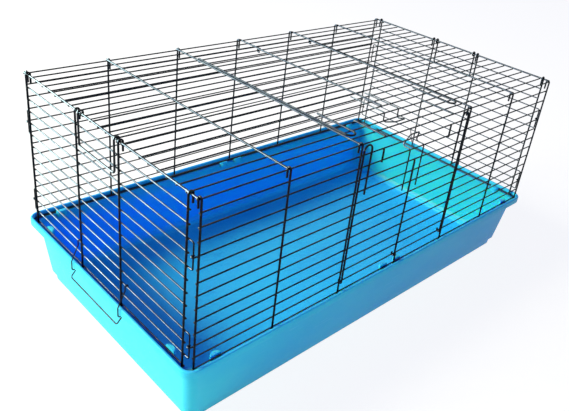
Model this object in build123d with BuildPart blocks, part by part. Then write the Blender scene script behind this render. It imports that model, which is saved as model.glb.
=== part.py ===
from build123d import *
import os

# A wire rabbit cage on a moulded tray.
# Millimetres, +Z up, front towards -Y. The origin is the middle of the tray's underside.

os.makedirs("parts", exist_ok=True)

# Tray
tray_length = 1000.0
tray_width = 548.0
tray_height = 144.0
tray_wall = 3.0
rim_corner = 24.0
lip_height = 15.0
crown_width = 6.0
crown_round = 2.6
ledge_depth = 10.0
wall_top_inset = 13.5
wall_draft = 12.5
wall_corner = 20.0
foot_height = 13.0
foot_slope = 7.0
foot_step = 5.0
foot_draft = 1.5
foot_round = 2.0
floor_round = 6.0

# Lugs that keep the bottom wires in the groove
lug_half_length = 11.0
lug_reach = 8.0
lug_height = 14.0
lug_below_rim = 2.0
lug_round = 1.0
lug_gap = 0.4
lug_from_end = 65.0
lug_from_middle = 21.5
lug_from_corner = 69.0

# Wire stock, and how deep one wire sinks into another at a weld
frame_wire = 3.6
mesh_wire = 2.6
clip_wire = 2.2
weld = 0.3
wire_overhang = 1.2
end_row_overhang = 2.5

# Running clearances
seat_gap = 0.3
hook_gap = 0.3
link_gap = 0.3
run_gap = 0.35

# Wall panels
groove_inset = 11.0
bottom_row_lift = 3.0
row_pitch = 23.5
row_count = 13
roof_above_rows = 24.0
hook_tail = 16.0
long_bays = 6
front_corner_gap = 8.0
end_corner_gap = 18.5
end_middle_spread = 133.0
short_upright_step = 4.2

# Corner links, given by the rows that they hold
link_rows = (2, 9)
link_bend = 3.0
link_eye_turn = 260.0

# Doors and their frames
front_hinge_row = 1
front_door_rows = 9
roof_gaps = 22
roof_hinge_gap = 3
door_side_gap = 6.0
door_eye_turn = 235.0
stop_width = 20.0
stop_reach = 9.0
stop_tail = 8.0
stiffener_spread = 200.0

# Door latches
latch_spread = 41.0
latch_tail = 12.0
latch_depth = 16.0
latch_rise = 23.0
latch_lean = 8.0
latch_bar = 27.0
latch_bend = 4.5

# Roof cross wires, which stand beside the hooks
cross_step = 4.2

# Carry handles
handle_spread = 111.0
handle_drop = 57.0
handle_bend = 6.0
handle_eye_turn = 280.0

# Tray clips, in profile outwards and down from the wire that they turn on
clip_row = 2
clip_spread = 160.0
clip_stand_off = 16.7
clip_neck_drop = 8.0
clip_bow_drop = 38.0
clip_tip_gap = 1.6
clip_tip_reach = 5.8
clip_pull_out = 11.5
clip_pull_drop = 14.0
clip_bend = 4.0
clip_tip_bend = 1.6
clip_eye_turn = 255.0

# Levels and planes worked out from the sizes above
ledge_z = tray_height - ledge_depth
wire_foot_z = ledge_z + seat_gap
frame_x = tray_length / 2 - groove_inset
frame_y = tray_width / 2 - groove_inset
weld_step = (frame_wire + mesh_wire) / 2 - weld
mesh_x = frame_x - weld_step
mesh_y = frame_y - weld_step
end_hook_radius = frame_wire + hook_gap
long_hook_radius = (frame_wire + mesh_wire) / 2 + hook_gap
rim_x = frame_x - end_hook_radius
rim_y = frame_y - long_hook_radius


def row_z(row):
    """Height of one of the walls' mesh rows, counted from the bottom."""
    return ledge_z + bottom_row_lift + row * row_pitch


cross_z = row_z(row_count - 1) + roof_above_rows
roof_mesh_z = cross_z - weld_step
roof_pitch = 2 * rim_y / roof_gaps


def roof_row_y(row):
    """Place of one of the roof's mesh rows, counted from the front rim."""
    return row * roof_pitch - rim_y


front_edge_x = frame_x - front_corner_gap
bay = 2 * front_edge_x / long_bays
end_edge_y = frame_y - end_corner_gap
doorway_x = bay
cross_x = [doorway_x + cross_step, 2 * bay + cross_step]
link_radius = mesh_wire + link_gap
link_y = mesh_y - link_radius
front_door_half = doorway_x - door_side_gap
roof_door_half = cross_x[0] - door_side_gap
roof_door_rows = roof_gaps - 2 * roof_hinge_gap - 1
door_lift = (mesh_wire + frame_wire) / 2 + run_gap
front_hinge = Plane((0, -mesh_y, row_z(front_hinge_row)), x_dir=(1, 0, 0), z_dir=(0, -1, 0))
roof_hinge_row = roof_gaps - roof_hinge_gap
roof_hinge = Plane((0, roof_row_y(roof_hinge_row), roof_mesh_z), x_dir=(-1, 0, 0), z_dir=(0, 0, 1))


def save(piece, name):
    """Name a finished piece and write it."""
    piece.part.label = name
    export_step(piece.part, f"parts/{name}.step")


def round_wire(path, diameter):
    """Sweep a round wire along the path just drawn."""
    route = path.wire()
    with BuildSketch(Plane(route @ 0, z_dir=route % 0)) as section:
        Circle(diameter / 2)
    sweep(section.sketch)


def tray_outline(inset, corner, mode=Mode.ADD):
    """The tray's outline in plan, drawn in from the lip."""
    RectangleRounded(tray_length - 2 * inset, tray_width - 2 * inset, corner, mode=mode)


def wires_along_x(places, length, diameter):
    """Straight wires along X, centred on the given places."""
    with Locations(*places):
        Cylinder(diameter / 2, length, rotation=(0, 90, 0))


def wires_along_y(places, length, diameter):
    """Straight wires along Y, centred on the given places."""
    with Locations(*places):
        Cylinder(diameter / 2, length, rotation=(90, 0, 0))


# Tray
wall_bottom_inset = wall_top_inset + wall_draft
foot_inset = wall_bottom_inset + foot_step
wall_foot_z = foot_height + foot_slope
wall_top_z = ledge_z - tray_wall
inner_corner = wall_corner - tray_wall

with BuildPart() as lug:
    with BuildSketch() as lug_plan:
        with BuildLine():
            Line((-lug_half_length, 0), (lug_half_length, 0))
            ThreePointArc((lug_half_length, 0), (0, lug_reach), (-lug_half_length, 0))
        make_face()
    extrude(amount=-lug_height)
    fillet(lug.faces().sort_by(Axis.Z)[-1].edges().filter_by(GeomType.CIRCLE), radius=lug_round)

lug_inset = groove_inset + weld_step + mesh_wire / 2 + lug_gap
lug_x = tray_length / 2 - lug_inset
lug_y = tray_width / 2 - lug_inset
lug_z = tray_height - lug_below_rim
lug_far_x = tray_length / 2 - lug_from_end
lug_end_y = tray_width / 2 - lug_from_corner
long_side_lugs = [-lug_far_x, -lug_from_middle, lug_from_middle, lug_far_x]
lug_places = [Location((x, -lug_y, lug_z)) for x in long_side_lugs]
lug_places += [Location((x, lug_y, lug_z), (0, 0, 180)) for x in long_side_lugs]
lug_places += [Location((-lug_x, y, lug_z), (0, 0, -90)) for y in (-lug_end_y, lug_end_y)]
lug_places += [Location((lug_x, y, lug_z), (0, 0, 90)) for y in (-lug_end_y, lug_end_y)]

with BuildPart() as base_tray:
    with BuildSketch():
        tray_outline(foot_inset + foot_draft, wall_corner)
    with BuildSketch(Plane.XY.offset(foot_height)):
        tray_outline(foot_inset, wall_corner)
    with BuildSketch(Plane.XY.offset(wall_foot_z)):
        tray_outline(wall_bottom_inset, wall_corner)
    with BuildSketch(Plane.XY.offset(wall_top_z)):
        tray_outline(wall_top_inset, wall_corner)
    loft(ruled=True)
    with BuildSketch(Plane.XY.offset(wall_top_z)):
        tray_outline(0, rim_corner)
    extrude(amount=tray_height - wall_top_z)
    with BuildSketch(Plane.XY.offset(tray_height - lip_height)):
        tray_outline(0, rim_corner)
        tray_outline(tray_wall, rim_corner - tray_wall, Mode.SUBTRACT)
    extrude(amount=lip_height - (tray_height - wall_top_z))
    with BuildSketch(Plane.XY.offset(tray_wall)):
        tray_outline(foot_inset + foot_draft + tray_wall, inner_corner)
    with BuildSketch(Plane.XY.offset(foot_height)):
        tray_outline(foot_inset + tray_wall, inner_corner)
    with BuildSketch(Plane.XY.offset(wall_foot_z)):
        tray_outline(wall_bottom_inset + tray_wall, inner_corner)
    with BuildSketch(Plane.XY.offset(ledge_z)):
        tray_outline(wall_top_inset + tray_wall, inner_corner)
    loft(ruled=True, mode=Mode.SUBTRACT)
    with BuildSketch(Plane.XY.offset(ledge_z)):
        tray_outline(crown_width, rim_corner - crown_width)
    extrude(amount=ledge_depth, mode=Mode.SUBTRACT)
    level_faces = base_tray.faces().filter_by(Axis.Z).sort_by(Axis.Z)
    fillet(level_faces[-1].edges(), radius=crown_round)
    fillet(level_faces[0].edges(), radius=foot_round)
    fillet(level_faces[1].edges(), radius=floor_round)
    with Locations(*lug_places):
        add(lug.part)
save(base_tray, "base_tray")


def hooked_upright(height, hook_radius):
    """An upright that stands at the origin and hooks towards +Y over a wire at the given height."""
    with BuildPart() as upright:
        with BuildLine(Plane.YZ) as path:
            leg = Line((0, 0), (0, height))
            bend = JernArc(leg @ 1, leg % 1, hook_radius, -180)
            Line(bend @ 1, bend @ 1 - Vector(0, 0, hook_tail))
        round_wire(path, frame_wire)
    return upright.part


long_upright = hooked_upright(roof_mesh_z - wire_foot_z, long_hook_radius)
end_upright = hooked_upright(cross_z - wire_foot_z, end_hook_radius)

# Eye at the left end of a front row, centred on the corner loop that it holds
link_lead = mesh_x - front_edge_x - wire_overhang
with BuildPart() as link_eye:
    with BuildLine() as eye_path:
        lead = Line((link_lead, -link_radius), (0, -link_radius))
        JernArc(lead @ 1, lead % 1, link_radius, -link_eye_turn)
    round_wire(eye_path, mesh_wire)
with BuildPart() as opposite_link_eye:
    mirror(link_eye.part, about=Plane.YZ)

full_row_length = 2 * (front_edge_x + wire_overhang)
side_row_length = front_edge_x - doorway_x + 2 * wire_overhang
side_row_x = (front_edge_x + doorway_x) / 2
door_rows = range(front_hinge_row + 1, front_hinge_row + 1 + front_door_rows)
through_rows = [row for row in range(row_count) if row not in door_rows]
long_uprights = [bay * step for step in range(-long_bays // 2, long_bays // 2 + 1)]

# Front panel, with its doorway
short_top_z = row_z(front_hinge_row) + wire_overhang
with BuildPart() as front_panel:
    wires_along_x([(0, -mesh_y, row_z(row)) for row in through_rows], full_row_length, mesh_wire)
    for side in (-side_row_x, side_row_x):
        wires_along_x([(side, -mesh_y, row_z(row)) for row in door_rows], side_row_length, mesh_wire)
    with Locations(*[(x, -frame_y, wire_foot_z) for x in long_uprights if abs(x) > bay / 2]):
        add(long_upright)
    with Locations((short_upright_step, -frame_y, (wire_foot_z + short_top_z) / 2)):
        Cylinder(frame_wire / 2, short_top_z - wire_foot_z)
    with Locations(*[(-mesh_x, -link_y, row_z(row)) for row in link_rows]):
        add(link_eye.part)
    with Locations(*[(mesh_x, -link_y, row_z(row)) for row in link_rows]):
        add(opposite_link_eye.part)
save(front_panel, "front_panel")

# Back panel
with BuildPart() as back_panel:
    wires_along_x([(0, mesh_y, row_z(row)) for row in range(row_count)], full_row_length, mesh_wire)
    with Locations(*[Location((x, frame_y, wire_foot_z), (0, 0, 180)) for x in long_uprights]):
        add(long_upright)
    with Locations(*[Location((mesh_x, link_y, row_z(row)), (0, 0, 180)) for row in link_rows]):
        add(link_eye.part)
    with Locations(*[Location((-mesh_x, link_y, row_z(row)), (0, 0, 180)) for row in link_rows]):
        add(opposite_link_eye.part)
save(back_panel, "back_panel")

# End panels and the loops on their edges
end_uprights = [-end_edge_y, -end_middle_spread / 2, end_middle_spread / 2, end_edge_y]
end_row_half = end_edge_y + end_row_overhang
for name, side in (("left", -1), ("right", 1)):
    with BuildPart() as end_panel:
        row_places = [(side * mesh_x, 0, row_z(row)) for row in range(row_count)]
        wires_along_y(row_places, 2 * end_row_half, mesh_wire)
        upright_turn = (0, 0, 90 * side)
        with Locations(*[Location((side * frame_x, y, wire_foot_z), upright_turn) for y in end_uprights]):
            add(end_upright)
    save(end_panel, f"{name}_end_panel")

    for edge_name, edge in (("front", -1), ("back", 1)):
        with BuildPart() as corner_loops:
            for row in link_rows:
                with BuildLine(Plane.YZ.offset(side * mesh_x)) as loop_path:
                    FilletPolyline(
                        (edge * end_row_half, row_z(row - 1)),
                        (edge * link_y, row_z(row - 1)),
                        (edge * link_y, row_z(row + 1)),
                        (edge * end_row_half, row_z(row + 1)),
                        radius=link_bend,
                    )
                round_wire(loop_path, mesh_wire)
        save(corner_loops, f"{edge_name}_{name}_corner_loops")

# Roof panel, with its doorway
roof_rows = range(1, roof_gaps)
roof_split_rows = range(roof_hinge_gap + 1, roof_hinge_row)
roof_through_rows = [row for row in roof_rows if row not in roof_split_rows]
roof_side_inner = cross_x[0] - wire_overhang
roof_side_outer = rim_x + mesh_wire / 2
roof_side_length = roof_side_outer - roof_side_inner
stub_front = roof_row_y(roof_hinge_row) - wire_overhang
stub_back = rim_y + wire_overhang
cross_places = [(side * x, 0, cross_z) for x in cross_x + [rim_x] for side in (-1, 1)]

with BuildPart() as roof_panel:
    rim_places = [(0, -rim_y, roof_mesh_z), (0, rim_y, roof_mesh_z)]
    wires_along_x(rim_places, 2 * (rim_x + wire_overhang), mesh_wire)
    through_places = [(0, roof_row_y(row), roof_mesh_z) for row in roof_through_rows]
    wires_along_x(through_places, 2 * roof_side_outer, mesh_wire)
    for side in (-1, 1):
        side_x = side * (roof_side_outer + roof_side_inner) / 2
        split_places = [(side_x, roof_row_y(row), roof_mesh_z) for row in roof_split_rows]
        wires_along_x(split_places, roof_side_length, mesh_wire)
    wires_along_y(cross_places, 2 * (rim_y + wire_overhang), frame_wire)
    stub_place = (short_upright_step, (stub_front + stub_back) / 2, cross_z)
    wires_along_y([stub_place], stub_back - stub_front, frame_wire)
save(roof_panel, "roof_panel")


def door_pieces(half, rows, pitch):
    """A door and its latch, lying on XY with the hinge wire along X and the outside up."""
    mesh_lift = door_lift - weld_step
    frame_row = (rows + 1) * pitch
    bend_y = frame_row + pitch + stop_reach
    with BuildPart() as edge_wire:
        with BuildLine(Plane.XY.offset(door_lift)) as stop_path:
            inner = -half + stop_width
            tail = Line((inner, (rows - 1) * pitch - stop_tail), (inner, bend_y))
            stop = JernArc(tail @ 1, tail % 1, stop_width / 2, 180)
            Line(stop @ 1, (-half, 0))
        with BuildLine(Plane.YZ.offset(-half)):
            JernArc((0, door_lift), (-1, 0), door_lift, door_eye_turn)
        round_wire(stop_path, frame_wire)
    with BuildPart() as middle_wire:
        with BuildLine(Plane.YZ) as middle_path:
            run = Line((rows * pitch + wire_overhang, door_lift), (0, door_lift))
            JernArc(run @ 1, run % 1, door_lift, door_eye_turn)
        round_wire(middle_path, frame_wire)
    with BuildPart() as door:
        row_places = [(0, row * pitch, mesh_lift) for row in range(1, rows + 1)]
        wires_along_x(row_places, 2 * (half + wire_overhang), mesh_wire)
        add([edge_wire.part, mirror(edge_wire.part, about=Plane.YZ, mode=Mode.PRIVATE), middle_wire.part])

    leg_x = latch_spread / 2
    leg_lift = mesh_lift + mesh_wire - weld
    leg_y = (rows - 2) * pitch - latch_tail
    wrap_bend = mesh_wire + 2 * run_gap - weld / 2
    over_y = frame_row + wrap_bend
    profile = [(leg_x, leg_y, leg_lift), (leg_x, over_y, leg_lift), (leg_x, over_y, -latch_depth)]
    profile += [(latch_bar / 2, over_y + latch_rise, latch_lean - latch_depth)]
    route = [(-x, y, z) for x, y, z in profile] + profile[::-1]
    with BuildPart() as latch:
        with BuildLine() as latch_path:
            bends = [wrap_bend, latch_bend, latch_bend]
            FilletPolyline(*route, radius=bends + bends[::-1])
        round_wire(latch_path, mesh_wire)
    return door.part, latch.part


# Doors and latches
front_pieces = door_pieces(front_door_half, front_door_rows, row_pitch)
roof_pieces = door_pieces(roof_door_half, roof_door_rows, roof_pitch)
for name, hinge, (door_part, latch_part) in (
    ("front_door", front_hinge, front_pieces),
    ("roof_door", roof_hinge, roof_pieces),
):
    with BuildPart() as door:
        with Locations(hinge.location):
            add(door_part)
    save(door, name)
    with BuildPart() as latch:
        with Locations(hinge.location):
            add(latch_part)
    save(latch, f"{name}_latch")

# Stiffeners across the frame wires beside the latches
front_stiffener_foot = row_z(front_hinge_row + front_door_rows + 1) - wire_overhang
front_stiffener_top = row_z(row_count - 1) + wire_overhang
roof_stiffener_front = -rim_y - wire_overhang
roof_stiffener_back = roof_row_y(roof_hinge_gap) + wire_overhang
for name, side in (("left", -1), ("right", 1)):
    stiffener_x = side * stiffener_spread / 2
    with BuildPart() as front_stiffener:
        with Locations((stiffener_x, -frame_y, (front_stiffener_foot + front_stiffener_top) / 2)):
            Cylinder(frame_wire / 2, front_stiffener_top - front_stiffener_foot)
    save(front_stiffener, f"front_{name}_stiffener")
    with BuildPart() as roof_stiffener:
        middle_y = (roof_stiffener_front + roof_stiffener_back) / 2
        stiffener_length = roof_stiffener_back - roof_stiffener_front
        wires_along_y([(stiffener_x, middle_y, cross_z)], stiffener_length, frame_wire)
    save(roof_stiffener, f"roof_{name}_stiffener")

# Carry handles and tray clips, drawn for an end that faces +X and turned for the other
handle_x = mesh_x + (mesh_wire + frame_wire) / 2 + run_gap
handle_radius = handle_x - rim_x
with BuildPart() as handle_half:
    with BuildLine(Plane.XZ) as handle_eye:
        JernArc((handle_x, cross_z), (0, 1), handle_radius, handle_eye_turn)
    round_wire(handle_eye, frame_wire)

clip_z = row_z(clip_row)
clip_radius = (clip_wire + mesh_wire) / 2 + run_gap
clip_out_x = mesh_x + clip_stand_off
clip_tip_x = tray_length / 2 - clip_tip_reach
clip_tip_z = tray_height - lip_height - clip_tip_gap - clip_wire / 2
with BuildPart() as clip_half:
    with BuildLine(Plane.XZ) as clip_eye:
        JernArc((mesh_x + clip_radius, clip_z), (0, 1), clip_radius, clip_eye_turn)
    round_wire(clip_eye, clip_wire)

for name, turn in (("left", 180), ("right", 0)):
    end_place = Location((0, 0, 0), (0, 0, turn))
    with BuildPart() as bail:
        with BuildLine() as bail_path:
            half = handle_spread / 2
            low_z = cross_z - handle_drop
            corners = [(handle_x, half, cross_z), (handle_x, half, low_z)]
            corners += [(handle_x, -half, low_z), (handle_x, -half, cross_z)]
            FilletPolyline(*corners, radius=handle_bend)
        round_wire(bail_path, frame_wire)
        with Locations((0, -half, 0), (0, half, 0)):
            add(handle_half.part)
    with BuildPart() as carry_handle:
        with Locations(end_place):
            add(bail.part)
    save(carry_handle, f"{name}_carry_handle")

    with BuildPart() as clip:
        with BuildLine() as clip_path:
            half = clip_spread / 2
            neck_x = mesh_x + clip_radius
            profile = [(neck_x, clip_z), (neck_x, clip_z - clip_neck_drop)]
            profile += [(clip_out_x, clip_z - clip_bow_drop), (clip_out_x, clip_tip_z)]
            profile += [(clip_tip_x, clip_tip_z)]
            profile += [(clip_tip_x + clip_pull_out, clip_tip_z - clip_pull_drop)]
            bends = [clip_bend, clip_bend, clip_bend, clip_tip_bend, clip_bend]
            corners = [(x, half, z) for x, z in profile] + [(x, -half, z) for x, z in reversed(profile)]
            FilletPolyline(*corners, radius=bends + bends[::-1])
        round_wire(clip_path, clip_wire)
        with Locations((0, -half, 0), (0, half, 0)):
            add(clip_half.part)
    with BuildPart() as tray_clip:
        with Locations(end_place):
            add(clip.part)
    save(tray_clip, f"{name}_tray_clip")
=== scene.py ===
# %% [markdown]
# # A wire rabbit cage on a moulded tray
#
# The cage is a deep blue plastic tray with a wire top standing in a groove round its rim. Flat wire panels
# hook over the roof's edge wires, two doors turn on panel wires, and bent wires make the latches, handles
# and clips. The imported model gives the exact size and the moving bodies. This lesson dresses it: every wire
# becomes a smooth tube with its welds, the tray becomes one moulded skin, and both get a finish made only
# from nodes.

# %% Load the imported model
import bpy
import numpy as np
from mathutils import Matrix, Vector


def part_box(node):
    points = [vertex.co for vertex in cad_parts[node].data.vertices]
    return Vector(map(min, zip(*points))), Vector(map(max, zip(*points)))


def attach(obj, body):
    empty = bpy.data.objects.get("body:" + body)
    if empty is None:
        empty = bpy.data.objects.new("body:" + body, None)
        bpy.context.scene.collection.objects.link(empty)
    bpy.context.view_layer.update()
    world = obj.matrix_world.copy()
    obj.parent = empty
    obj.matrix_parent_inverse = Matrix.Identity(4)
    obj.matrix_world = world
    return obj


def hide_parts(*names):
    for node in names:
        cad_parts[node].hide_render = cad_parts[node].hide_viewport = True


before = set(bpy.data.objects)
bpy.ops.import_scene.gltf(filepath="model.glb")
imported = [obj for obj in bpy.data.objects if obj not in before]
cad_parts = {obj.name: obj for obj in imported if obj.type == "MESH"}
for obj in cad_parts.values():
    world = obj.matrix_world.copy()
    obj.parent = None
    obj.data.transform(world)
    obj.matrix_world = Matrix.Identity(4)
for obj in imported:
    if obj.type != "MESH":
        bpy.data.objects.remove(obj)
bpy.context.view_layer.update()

# %% [markdown]
# ## The camera
#
# A photograph can be matched by eye, but straight parallel wires give the camera exactly: the three
# directions in which they run meet at three vanishing points, and those fix the lens and the turn of the
# camera. The numbers here were worked out that way, in pixels, and are turned into Blender's lens length
# and shift.

# %% Camera
PHOTO_WIDTH = 569
PHOTO_HEIGHT = 411
FOCAL_PX = 660.33
CENTRE_PX = (312.5, 178.26)
CAMERA_PLACE = (-0.9399, -0.8619, 0.8903)
LOOK = np.array((0.6574, 0.5889, -0.4701))
RIGHT = np.array((0.7091, -0.6946, 0.1215))
SENSOR_MM = 36.0
NEAR_CLIP = 0.01

look = LOOK / np.linalg.norm(LOOK)
right = RIGHT - look * (RIGHT @ look)
right = right / np.linalg.norm(right)
turn = np.stack([right, np.cross(right, look), -look], axis=1)

camera_data = bpy.data.cameras.new("photo_camera")
camera_data.sensor_width = SENSOR_MM
camera_data.lens = SENSOR_MM * FOCAL_PX / PHOTO_WIDTH
camera_data.shift_x = (PHOTO_WIDTH / 2 - CENTRE_PX[0]) / PHOTO_WIDTH
camera_data.shift_y = (CENTRE_PX[1] - PHOTO_HEIGHT / 2) / PHOTO_WIDTH
camera_data.clip_start = NEAR_CLIP
camera = bpy.data.objects.new("photo_camera", camera_data)
bpy.context.scene.collection.objects.link(camera)
camera.matrix_world = Matrix.Translation(CAMERA_PLACE) @ Matrix(turn.tolist()).to_4x4()
bpy.context.scene.camera = camera
bpy.context.scene.view_settings.view_transform = "Standard"
print("lens in mm:", round(camera_data.lens, 2), "shift:", camera_data.shift_x, camera_data.shift_y)

# %% [markdown]
# ## Nodes by hand
#
# A material is a small graph. One helper adds a node, sets its properties, and either sets or links each
# input, so that a finish reads from top to bottom like a recipe. An effect that two finishes share is a
# node group with named sockets: it is drawn once and placed in each material with that material's own
# values.

# %% Node helpers
def feed(tree, socket, value):
    """Link a socket to another, or set its plain value."""
    if isinstance(value, bpy.types.NodeSocket):
        tree.links.new(value, socket)
    else:
        socket.default_value = value


def add_node(tree, kind, inputs=None, **settings):
    """Add one node, set its properties, and feed its inputs by name or number."""
    made = tree.nodes.new(kind)
    for key, value in settings.items():
        setattr(made, key, value)
    for key, value in (inputs or {}).items():
        feed(tree, made.inputs[key], value)
    return made


def calc(tree, operation, first, second):
    """The result of one Math node."""
    return add_node(tree, "ShaderNodeMath", {0: first, 1: second}, operation=operation).outputs[0]


def ramp(tree, value, low, high, bottom=0.0, top=1.0):
    """Stretch a value so that low becomes bottom and high becomes top, with soft ends."""
    inputs = {"Value": value, "From Min": low, "From Max": high, "To Min": bottom, "To Max": top}
    return add_node(tree, "ShaderNodeMapRange", inputs, interpolation_type="SMOOTHSTEP").outputs["Result"]


def blend(tree, amount, first, second):
    """Blend two colours by an amount from 0 to 1."""
    made = add_node(tree, "ShaderNodeMix", data_type="RGBA")
    colours = [socket for socket in made.inputs if socket.type == "RGBA"]
    feed(tree, made.inputs[0], amount)
    feed(tree, colours[0], first)
    feed(tree, colours[1], second)
    return next(socket for socket in made.outputs if socket.type == "RGBA")


def noise(tree, vector, scale, detail=3.0):
    """A noise texture's value, about 0.5 on average."""
    inputs = {"Vector": vector, "Scale": scale, "Detail": detail}
    return add_node(tree, "ShaderNodeTexNoise", inputs).outputs[0]


def stretch(tree, vector, scale, rotation=(0.0, 0.0, 0.0)):
    """Turn and stretch a coordinate, so that a round pattern becomes a streak."""
    inputs = {"Vector": vector, "Rotation": rotation, "Scale": scale}
    return add_node(tree, "ShaderNodeMapping", inputs).outputs[0]


print("node helpers:", [helper.__name__ for helper in (feed, add_node, calc, ramp, blend, noise, stretch)])


# %% Node groups
def new_group(name, outputs):
    """Start a shader node group with a Vector input and named number outputs."""
    tree = bpy.data.node_groups.new(name, "ShaderNodeTree")
    tree.interface.new_socket("Vector", in_out="INPUT", socket_type="NodeSocketVector")
    for label in outputs:
        tree.interface.new_socket(label, in_out="OUTPUT", socket_type="NodeSocketFloat")
    return tree, tree.nodes.new("NodeGroupInput").outputs["Vector"], tree.nodes.new("NodeGroupOutput").inputs


def use_group(tree, group, vector):
    """Place a node group and give its outputs."""
    made = add_node(tree, "ShaderNodeGroup", node_tree=group)
    feed(tree, made.inputs["Vector"], vector)
    return made.outputs


print("group helpers:", [helper.__name__ for helper in (new_group, use_group)])

# %% [markdown]
# ## Light and floor
#
# The light comes from behind the left end and does two things: walls lit from behind glow, and wires that
# run towards the back shine while the others stay dark. A large far softbox gives the first. The second is
# only a reflection, so a strip lamp is linked to the wirework alone and gives no diffuse light. A low
# softbox in front opens the outer wall and stays out of reflections, and the world fills the rest, bluer
# from above. The floor and the world show white where they are looked at, also in a reflection. The floor
# lies a hair below the tray, and adds part of its white as glow, so that it stays white without more lamps
# and a soft shadow still lies on it.

# %% World
WHITE = (1.0, 1.0, 1.0, 1.0)
FILL_ABOVE = (0.10, 0.14, 0.46, 1.0)
FILL_LEVEL = (0.11, 0.14, 0.11, 1.0)
FILL_ABOVE_FROM = 0.7


def seen_directly(tree):
    """1 for a ray from the camera, or one that a glossy or clear surface sends on."""
    path = add_node(tree, "ShaderNodeLightPath").outputs
    glossy = calc(tree, "MAXIMUM", path["Is Glossy Ray"], path["Is Transmission Ray"])
    return calc(tree, "MAXIMUM", path["Is Camera Ray"], glossy)


world = bpy.data.worlds.new("studio")
world.use_nodes = True
world_tree = world.node_tree
world_tree.nodes.clear()
direction = add_node(world_tree, "ShaderNodeTexCoord").outputs["Generated"]
skyward = add_node(world_tree, "ShaderNodeSeparateXYZ", {"Vector": direction}).outputs["Z"]
fill_colour = blend(world_tree, ramp(world_tree, skyward, 0.0, FILL_ABOVE_FROM), FILL_LEVEL, FILL_ABOVE)
fill_light = add_node(world_tree, "ShaderNodeBackground", {"Color": fill_colour, "Strength": 1.0})
white_light = add_node(world_tree, "ShaderNodeBackground", {"Color": WHITE, "Strength": 1.0})
world_mix = add_node(world_tree, "ShaderNodeMixShader", {
    0: seen_directly(world_tree), 1: fill_light.outputs[0], 2: white_light.outputs[0]})
add_node(world_tree, "ShaderNodeOutputWorld", {"Surface": world_mix.outputs[0]})
bpy.context.scene.world = world
print("world:", world.name, "with", len(world_tree.nodes), "nodes")

# %% Floor
FLOOR_BOUNCE = (0.8, 0.78, 0.45, 1.0)
FLOOR_SHADE = (0.25, 0.24, 0.20, 1.0)
FLOOR_GLOW = 0.88
FLOOR_SIZE = 12.0
FLOOR_DROP = 0.0005

floor_paint = bpy.data.materials.new("floor_paint")
floor_paint.use_nodes = True
floor_tree = floor_paint.node_tree
floor_tree.nodes.clear()
floor_bounce = add_node(floor_tree, "ShaderNodeBsdfDiffuse", {"Color": FLOOR_BOUNCE})
floor_shade = add_node(floor_tree, "ShaderNodeBsdfDiffuse", {"Color": FLOOR_SHADE})
floor_glow = add_node(floor_tree, "ShaderNodeEmission", {"Strength": FLOOR_GLOW})
floor_seen = add_node(floor_tree, "ShaderNodeAddShader", {
    0: floor_shade.outputs[0], 1: floor_glow.outputs[0]})
floor_mix = add_node(floor_tree, "ShaderNodeMixShader", {
    0: seen_directly(floor_tree), 1: floor_bounce.outputs[0], 2: floor_seen.outputs[0]})
add_node(floor_tree, "ShaderNodeOutputMaterial", {"Surface": floor_mix.outputs[0]})

floor_mesh = bpy.data.meshes.new("floor")
corner = FLOOR_SIZE / 2
floor_corners = [(-corner, -corner, -FLOOR_DROP), (corner, -corner, -FLOOR_DROP),
                 (corner, corner, -FLOOR_DROP), (-corner, corner, -FLOOR_DROP)]
floor_mesh.from_pydata(floor_corners, [], [(0, 1, 2, 3)])
floor_mesh.materials.append(floor_paint)
floor = bpy.data.objects.new("floor", floor_mesh)
bpy.context.scene.collection.objects.link(floor)
print("floor:", FLOOR_SIZE, "m square")

# %% Lamps
AIM = Vector((0.0, 0.0, 0.15))


def softbox(name, place, width, height, watts, colour):
    """A rectangular lamp that faces the middle of the cage."""
    lamp = bpy.data.lights.new(name, "AREA")
    lamp.shape = "RECTANGLE"
    lamp.size = width
    lamp.size_y = height
    lamp.energy = watts
    lamp.color = colour
    made = bpy.data.objects.new(name, lamp)
    made.location = place
    made.rotation_euler = (AIM - Vector(place)).to_track_quat("-Z", "Y").to_euler()
    bpy.context.scene.collection.objects.link(made)
    return made


softbox("back_left_softbox", place=(-3.40, 2.24, 2.05), width=1.6, height=1.6, watts=320.0,
        colour=(1.0, 0.98, 0.84))
front_softbox = softbox("front_softbox", place=(-0.95, -1.6, 0.16), width=1.0, height=0.3, watts=6.5,
                        colour=(0.92, 0.95, 1.0))
front_softbox.visible_glossy = False
wire_strip = softbox("wire_strip", place=(-1.7, 1.7, 0.62), width=2.8, height=1.1, watts=1250.0,
                     colour=(0.84, 1.0, 0.94))
wire_strip.visible_diffuse = False
WIREWORK = bpy.data.collections.new("wirework")
wire_strip.light_linking.receiver_collection = WIREWORK
print("lamps:", [lamp.name for lamp in bpy.data.lights])

# %% [markdown]
# ## Shared surface effects
#
# Plastic and wire both gather fine scratches and dust, so those two are node groups. Each reads a
# coordinate and puts out a mask from 0 to 1. Scratches are noise stretched into long thin streaks in two
# directions, broken up by a coarser noise. Dust is a fine noise that only lies where the surface faces
# upwards.

# %% Scratches and dust
def hairline_scratches():
    """Two crossing sets of streaks, kept only in patches."""
    tree, vector, outputs = new_group("hairline_scratches", ["Mask"])
    level = noise(tree, stretch(tree, vector, (7.0, 420.0, 260.0), (0.2, 0.1, 0.35)), 1.0, 2.0)
    steep = noise(tree, stretch(tree, vector, (380.0, 9.0, 210.0), (0.3, 0.4, 0.8)), 1.0, 2.0)
    patches = ramp(tree, noise(tree, vector, 14.0), 0.45, 0.65)
    streaks = calc(tree, "MAXIMUM", ramp(tree, level, 0.66, 0.74), ramp(tree, steep, 0.67, 0.75))
    feed(tree, outputs["Mask"], calc(tree, "MULTIPLY", streaks, patches))
    return tree


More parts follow.
